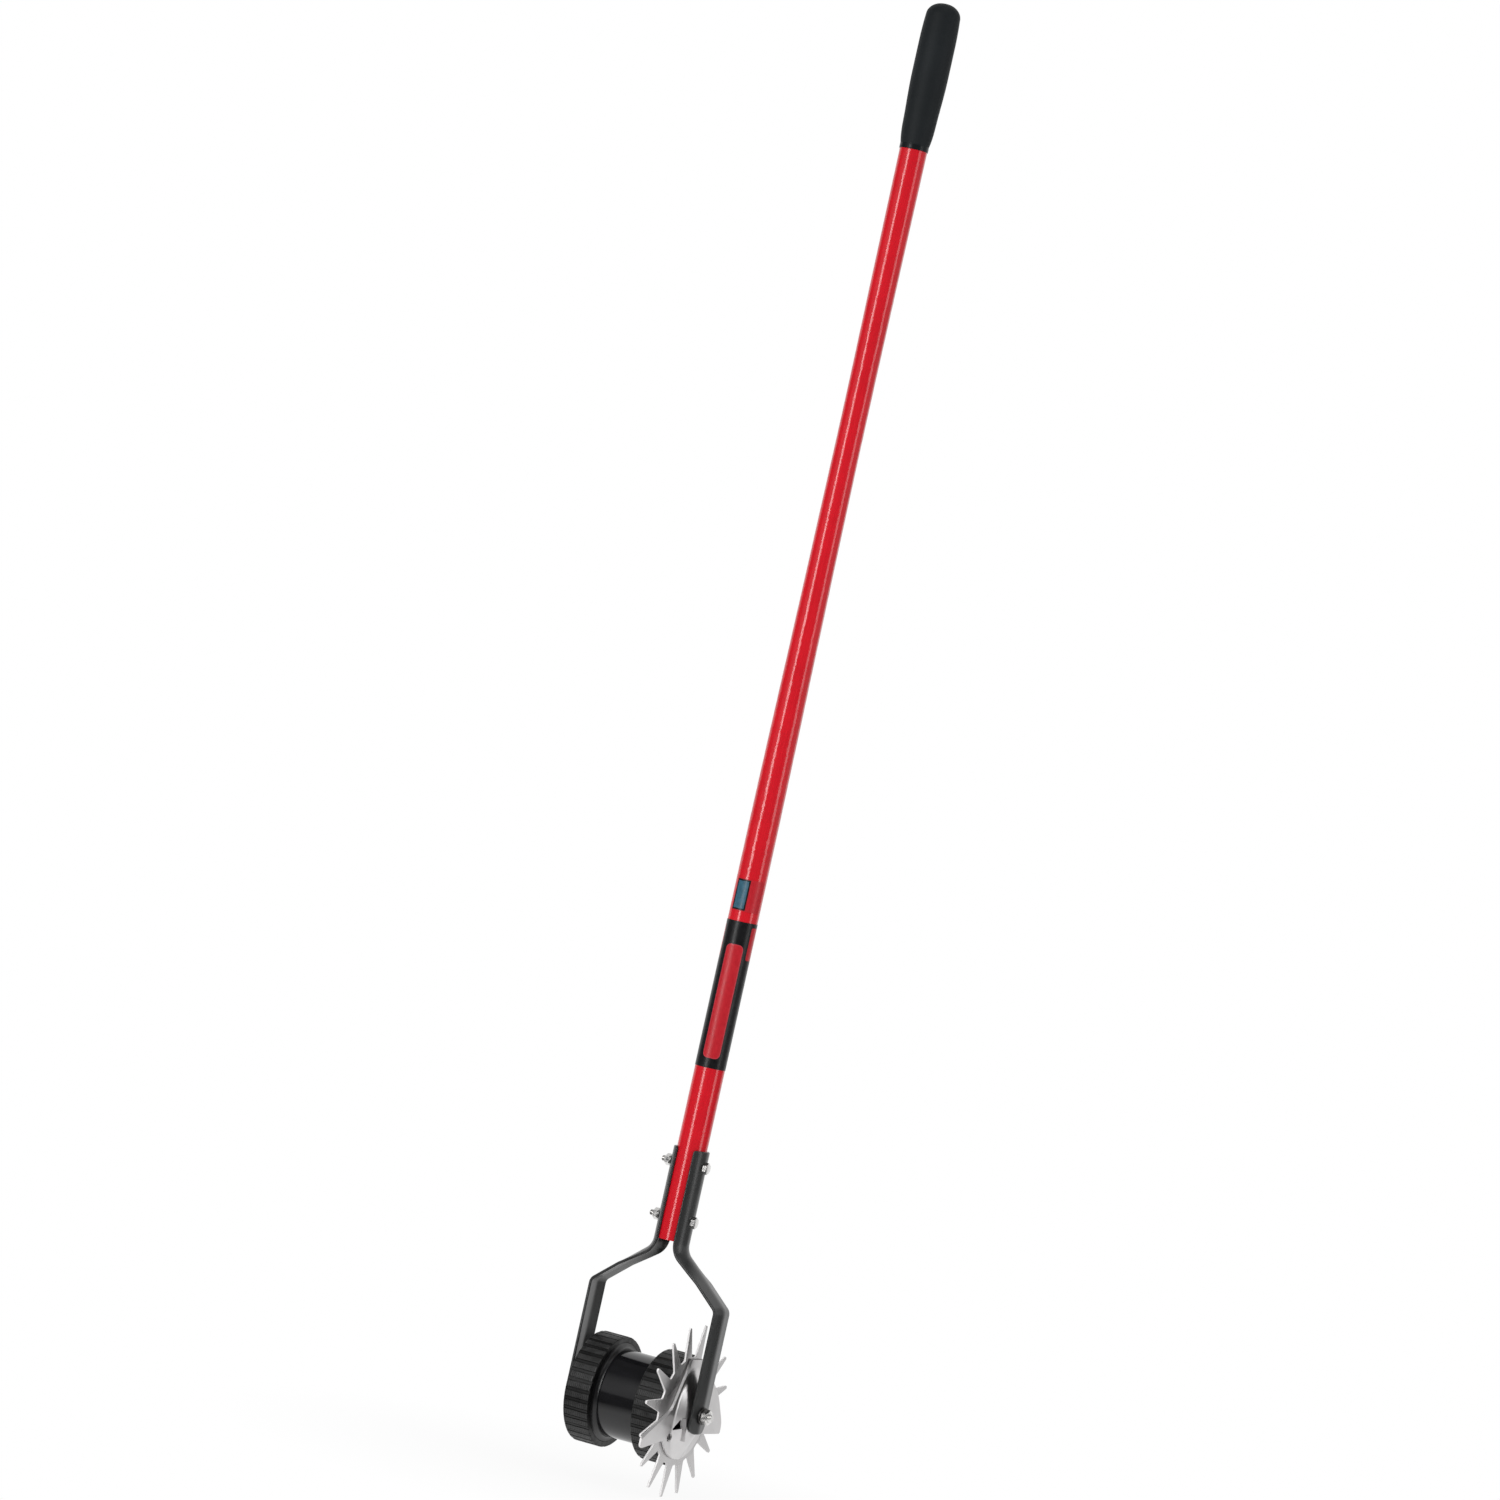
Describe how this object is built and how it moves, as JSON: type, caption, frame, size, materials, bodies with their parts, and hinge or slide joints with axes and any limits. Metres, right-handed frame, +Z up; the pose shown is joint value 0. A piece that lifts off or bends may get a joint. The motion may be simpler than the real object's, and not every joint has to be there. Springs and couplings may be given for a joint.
{
  "type": "rotary lawn edger",
  "caption": "Long handled push edger: a roller between two fork arms turns a toothed star blade that shears grass against a fixed plate.",
  "frame": {"origin": "middle of the grip's widest round, on the handle's axis, where a hand holds it", "axes": "+Z up along the handle from the roller to the grip, +X along the axle towards the star blade, -Y to the front, the way the tool is pushed"},
  "size_m": [0.1583, 0.168, 1.459],
  "materials": {
    "handle_red": "gloss red gelcoat on a fibreglass tube",
    "plug_wood": "bare turned dowel",
    "plug_plastic": "moulded, matte",
    "grip_rubber": "soft matte black moulding with a fine grain",
    "label_film": "gloss printed film, black with a red panel, no wording",
    "small_label_film": "gloss printed film, dark blue and red, no wording",
    "arm_black": "gloss black powder coat on stamped steel",
    "zinc": "bright zinc plate",
    "black_steel": "blackened steel",
    "sleeve_steel": "plain turned steel",
    "blade_steel": "bright stamped steel with a light grain",
    "wheel_black": "moulded black plastic, satin",
    "barrel_black": "smooth black, gloss",
    "tyre_black": "matte black rubber with a cross tread",
    "bush_nylon": "natural nylon"
  },
  "bodies": {
    "frame": {"handle_tube": "handle_red", "clamp_plug": "plug_wood", "top_plug": "plug_plastic", "grip": "grip_rubber", "label_band": "label_film", "small_label": "small_label_film", "left_fork_arm": "arm_black", "right_fork_arm": "arm_black", "clamp_bolts": "zinc", "clamp_nuts": "zinc", "clamp_lock_washers": "zinc", "axle_bolt": "zinc", "axle_nut": "zinc", "axle_washer": "black_steel", "axle_sleeve": "sleeve_steel", "left_spacer": "black_steel", "right_spacer": "black_steel", "thrust_washer": "sleeve_steel", "disc_springs": "sleeve_steel", "shear_plate": "blade_steel"},
    "roller": {"left_wheel": "wheel_black", "right_wheel": "wheel_black", "left_tyre": "tyre_black", "right_tyre": "tyre_black", "barrel": "barrel_black", "left_bush": "bush_nylon", "right_bush": "bush_nylon", "star_blade": "blade_steel", "blade_screws": "zinc"}
  },
  "joints": [
    {"name": "roller_spin", "type": "hinge", "parent": "frame", "child": "roller", "pos_m": [0, 0, -1.3195], "axis": [1, 0, 0], "continuous": true}
  ]
}
